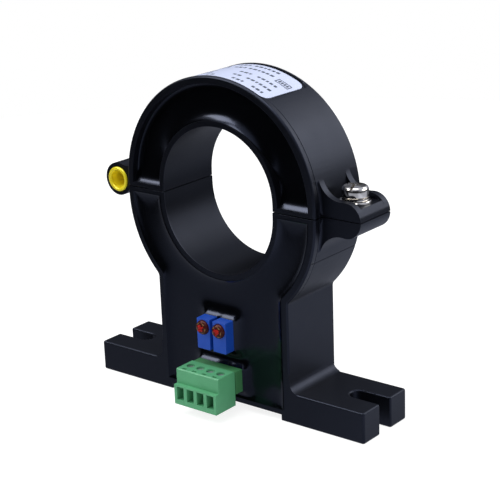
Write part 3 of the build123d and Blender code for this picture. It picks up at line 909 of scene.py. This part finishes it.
def varnish_drop(name, x):
    """Blob of seal varnish over the trimmer's screw."""
    bulge = [(2.25 * cos(a), -1.45 * sin(a) ** 0.8) for a in [radians(10 * i) for i in range(1, 9)]]
    profile = [(0, 0.2), (1.7, 0.2), (2.25, 0.05)] + bulge + [(0.0, -1.47)]
    centre = Vector((x, trimmer_face, trimmer_screw_z))
    made = turned(name + "_seal", profile, centre, (0, 1, 0), varnish_red, segments=40,
                  sharp=60)
    for vert in made.data.vertices:
        local = vert.co / mm - centre
        if local.y < 0:
            ripple = 0.10 * sin(5 * atan2(local.z, local.x) + x)
            ripple += 0.07 * sin(3.1 * local.x + 2.7 * local.z + x)
            vert.co.y += ripple * mm * min(1, -local.y)
    add_on(made, name + "_screw")


for name in trimmer_places:
    case = moulded_copy(name + "_trimmer", name + "_case", trimmer_blue,
                        [(on_trimmer_face, 0.12, 2)])
    stand_in(case, name + "_trimmer")
for name, x in trimmer_places.items():
    varnish_drop(name, x)


# Header, plug and terminal screws

def long_enough(edge):
    """Edges that have room for a round."""
    return edge.calc_length() > least_edge


def on_plug_body(edge):
    """Edges of the plug in front of its rear shoulder, behind which the header holds it."""
    return long_enough(edge) and middle_of(edge).y < plug_rear - 0.03


def opened_plug(shape):
    """Raise the tops of the wire windows to the plug's step, and widen the slits by the wells."""
    for vert in shape.verts:
        if abs(vert.co.z - packed_window_top) < level_match and vert.co.y < window_zone_rear:
            vert.co.z = window_top
        if vert.co.z > slit_zone_low:
            for packed, drawn in slit_sides:
                if abs(vert.co.y - packed) < level_match:
                    vert.co.y = drawn


header = moulded_copy("terminal_header", "header_shroud", header_green, [(long_enough, 0.08, 2)])
stand_in(header, "terminal_header")
plug = moulded_copy("terminal_plug", "plug_body", terminal_green, [(on_plug_body, 0.10, 2)],
                    opened_plug)
stand_in(plug, "terminal_plug")


def screw_tree(finish):
    """Slotted cheese head on a plain shank, placed by its top."""
    tree, given, target = new_group("slotted_screw", [
        ("Head Radius", "Float", 1.15 * mm), ("Head Height", "Float", 1.3 * mm),
        ("Shank Radius", "Float", 0.85 * mm), ("Shank Length", "Float", 3.4 * mm),
        ("Slot Width", "Float", 0.4 * mm), ("Slot Depth", "Float", 0.5 * mm),
        ("Place", "Vector", None)])

    def node(kind):
        """New geometry node of a kind."""
        return tree.nodes.new("GeometryNode" + kind)

    def down(length, factor):
        """Offset straight down by a share of an input length."""
        offset = tree.nodes.new("ShaderNodeCombineXYZ")
        drop = maths(tree, "MULTIPLY", given.outputs[length], -factor)
        tree.links.new(drop, offset.inputs["Z"])
        return offset

    def moved(source, *offsets):
        """Mesh of a node, moved by each offset in turn."""
        place, output = source, "Mesh"
        for offset in offsets:
            further = node("Transform")
            link(tree, place, output, further, "Geometry")
            link(tree, offset, "Vector", further, "Translation")
            place, output = further, "Geometry"
        return place

    head = node("MeshCylinder")
    head.inputs["Vertices"].default_value = 40
    link(tree, given, "Head Radius", head, "Radius")
    link(tree, given, "Head Height", head, "Depth")
    shank = node("MeshCylinder")
    shank.inputs["Vertices"].default_value = 28
    link(tree, given, "Shank Radius", shank, "Radius")
    link(tree, given, "Shank Length", shank, "Depth")
    bar = node("MeshCube")
    size = tree.nodes.new("ShaderNodeCombineXYZ")
    size.inputs["X"].default_value = slot_reach * mm
    link(tree, given, "Slot Width", size, "Y")
    link(tree, given, "Slot Depth", size, "Z")
    link(tree, size, "Vector", bar, "Size")
    turned_bar = node("Transform")
    turned_bar.inputs["Rotation"].default_value = (0, 0, radians(slot_turn))
    link(tree, moved(bar, down("Slot Depth", 0.49)), "Geometry", turned_bar, "Geometry")
    slotted = node("MeshBoolean")
    slotted.operation = "DIFFERENCE"
    link(tree, moved(head, down("Head Height", 0.5)), "Geometry", slotted, "Mesh 1")
    link(tree, turned_bar, "Geometry", slotted, "Mesh 2")
    both = node("JoinGeometry")
    link(tree, slotted, "Mesh", both, "Geometry")
    under_head = moved(shank, down("Shank Length", 0.5), down("Head Height", 1.0))
    link(tree, under_head, "Geometry", both, "Geometry")
    placed = node("Transform")
    link(tree, both, "Geometry", placed, "Geometry")
    link(tree, given, "Place", placed, "Translation")
    close_group(tree, placed, "Geometry", finish, target)
    return tree


slotted_screw = screw_tree(zinc_plate)
for index in range(4):
    x = (index - 1.5) * pole_pitch
    made = grown(f"wire_screw_{index + 1}", slotted_screw,
                 {"Head Radius": 1.2 * mm, "Shank Length": 3.55 * mm,
                  "Place": (x * mm, well_y * mm, (plug_top - 0.6) * mm)})
    stand_in(made, f"terminal_screw_{index + 1}")


# The nodes' own finishes; those without a stand-in show as they are

for name, node in nodes.items():
    node.data.materials.clear()
    node.data.materials.append(slot_finish[node_slot[name]])


# Floor, lights and camera; the places of lights and camera are in metres
# The camera sees floor and surroundings nearly white, and glossy surfaces see them dimmer

def spread(tree, value, nought, one):
    """Smooth step of a socket from nought to one."""
    made = tree.nodes.new("ShaderNodeMapRange")
    made.interpolation_type = "SMOOTHSTEP"
    made.inputs["From Min"].default_value = nought
    made.inputs["From Max"].default_value = one
    tree.links.new(value, made.inputs["Value"])
    return made.outputs["Result"]


def mixed(tree, share, one, other):
    """Mix of two shader sockets, by a share that is a socket too."""
    made = tree.nodes.new("ShaderNodeMixShader")
    tree.links.new(share, made.inputs["Fac"])
    tree.links.new(one, made.inputs[1])
    tree.links.new(other, made.inputs[2])
    return made.outputs["Shader"]


def glowing(tree, base, colour, strength, share):
    """A shader socket mixed with a plain glow, whose strength is a number or a socket."""
    glow = tree.nodes.new("ShaderNodeEmission")
    glow.inputs["Color"].default_value = (*colour, 1)
    if isinstance(strength, float):
        glow.inputs["Strength"].default_value = strength
    else:
        tree.links.new(strength, glow.inputs["Strength"])
    return mixed(tree, share, base, glow.outputs["Emission"])


def backdrop(tree, colour, strength):
    """Plain surroundings of one colour."""
    made = tree.nodes.new("ShaderNodeBackground")
    made.inputs["Color"].default_value = (*colour, 1)
    made.inputs["Strength"].default_value = strength
    return made.outputs["Background"]


def pale_floor():
    """Round floor just under the feet."""
    bpy.ops.mesh.primitive_circle_add(vertices=96, radius=floor_radius * mm, fill_type="NGON",
                                      location=(0, 0, (base_level - floor_drop) * mm))
    floor = bpy.context.object
    floor.name = "floor"
    made = bpy.data.materials.new("pale_floor")
    made.use_nodes = True
    tree = made.node_tree
    shader = tree.nodes["Principled BSDF"]
    shader.inputs["Base Color"].default_value = (0.93, 0.93, 0.93, 1)
    shader.inputs["Roughness"].default_value = 0.9
    shader.inputs["Specular IOR Level"].default_value = 0.1
    rays = tree.nodes.new("ShaderNodeLightPath")
    x, y, _ = place_axes(tree)
    pale = glowing(tree, shader.outputs["BSDF"], (1, 1, 1), 1.3,
                   maths(tree, "MULTIPLY", rays.outputs["Is Camera Ray"], 0.65))
    # Regions in millimetres from the middle, each from where it begins to where it is full. Glossy
    # rays see the floor glow in these regions, though it is no lamp: a painted source of the part's
    # reflections
    near = spread(tree, length_of(tree, x, y), 235, 115)
    back = reach_along(tree, x, y, (0.63, 0.77))
    behind = maths(tree, "SUBTRACT", spread(tree, back, 10, 120),
                   maths(tree, "MULTIPLY", spread(tree, back, 120, 210), 0.75))
    before = spread(tree, reach_along(tree, x, y, (0.9, -0.45)), 20, 100)
    beside = spread(tree, reach_along(tree, x, y, (-0.9, 0.45)), 130, 220)
    strength = 0.004
    for region, level in ((near, 0.34), (behind, 0.36), (before, 0.5), (beside, 0.6)):
        strength = maths(tree, "ADD", strength, maths(tree, "MULTIPLY", region, level))
    seen = glowing(tree, pale, reflection_tint, strength, rays.outputs["Is Glossy Ray"])
    tree.links.new(seen, tree.nodes["Material Output"].inputs["Surface"])
    floor.data.materials.append(made)


def white_world():
    """Surroundings whose reflection is brighter above and to the right."""
    world = bpy.data.worlds.new("white_room")
    bpy.context.scene.world = world
    world.use_nodes = True
    tree = world.node_tree
    tree.nodes.clear()
    rays = tree.nodes.new("ShaderNodeLightPath")
    places = tree.nodes.new("ShaderNodeTexCoord")
    split = tree.nodes.new("ShaderNodeSeparateXYZ")
    link(tree, places, "Generated", split, "Vector")
    x, y, z = [split.outputs[axis] for axis in "XYZ"]
    to_right = maths(tree, "MULTIPLY", spread(tree, reach_along(tree, x, y, (0.7, 0.7)), 0.1, 0.8),
                     spread(tree, z, -0.1, 0.4))
    up = spread(tree, z, 0.35, 0.8)
    glossy = mixed(tree, maths(tree, "MAXIMUM", to_right, up),
                   backdrop(tree, reflection_tint, 0.01), backdrop(tree, reflection_tint, 0.7))
    unseen = mixed(tree, rays.outputs["Is Glossy Ray"],
                   backdrop(tree, (0.95, 0.97, 1.0), 0.5), glossy)
    clear = maths(tree, "MAXIMUM", rays.outputs["Is Camera Ray"],
                  rays.outputs["Is Transmission Ray"])
    target = tree.nodes.new("ShaderNodeOutputWorld")
    tree.links.new(mixed(tree, clear, unseen, backdrop(tree, (1, 1, 1), 1.0)),
                   target.inputs["Surface"])


def softbox(name, place, aim, size, power):
    """Rectangular lamp looking at a point; its power is in watts."""
    lamp = bpy.data.lights.new(name, "AREA")
    lamp.shape = "RECTANGLE"
    lamp.size, lamp.size_y = size
    lamp.energy = power
    made = bpy.data.objects.new(name, lamp)
    bpy.context.collection.objects.link(made)
    made.location = place
    made.rotation_euler = (Vector(aim) - Vector(place)).to_track_quat("-Z", "Y").to_euler()


def camera():
    """Camera fitted to the photograph, which is square; its focal length is in pixels there."""
    focal_length, photo_side, sensor = 1458.86, 500, 36
    azimuth, elevation, roll = radians(39.14), radians(17.96), radians(-2.113)
    back = Vector((sin(azimuth) * cos(elevation), -cos(azimuth) * cos(elevation), sin(elevation)))
    right = Vector((cos(azimuth), sin(azimuth), 0))
    up = back.cross(right)
    across = cos(roll) * right + sin(roll) * up
    upward = -sin(roll) * right + cos(roll) * up
    lens = bpy.data.cameras.new("camera")
    lens.sensor_width = sensor
    lens.lens = focal_length / photo_side * sensor
    made = bpy.data.objects.new("camera", lens)
    bpy.context.collection.objects.link(made)
    place = Matrix.Translation((0.26159, -0.31818, 0.11581))
    made.matrix_world = place @ Matrix((across, upward, back)).transposed().to_4x4()
    bpy.context.scene.camera = made


pale_floor()
white_world()
softbox("key", (-0.46, -0.40, 0.62), (0, 0, -0.01), (0.42, 0.36), 3.2)
softbox("top", (0.02, -0.12, 0.80), (0, 0, 0), (0.6, 0.4), 3.6)
softbox("back", (0.26, 0.60, 0.50), (0, 0, 0), (0.42, 0.34), 0.55)
softbox("right", (0.54, 0.42, 0.30), (0, 0, 0), (0.7, 0.42), 1.8)
camera()
bpy.context.scene.view_settings.view_transform = "Standard"
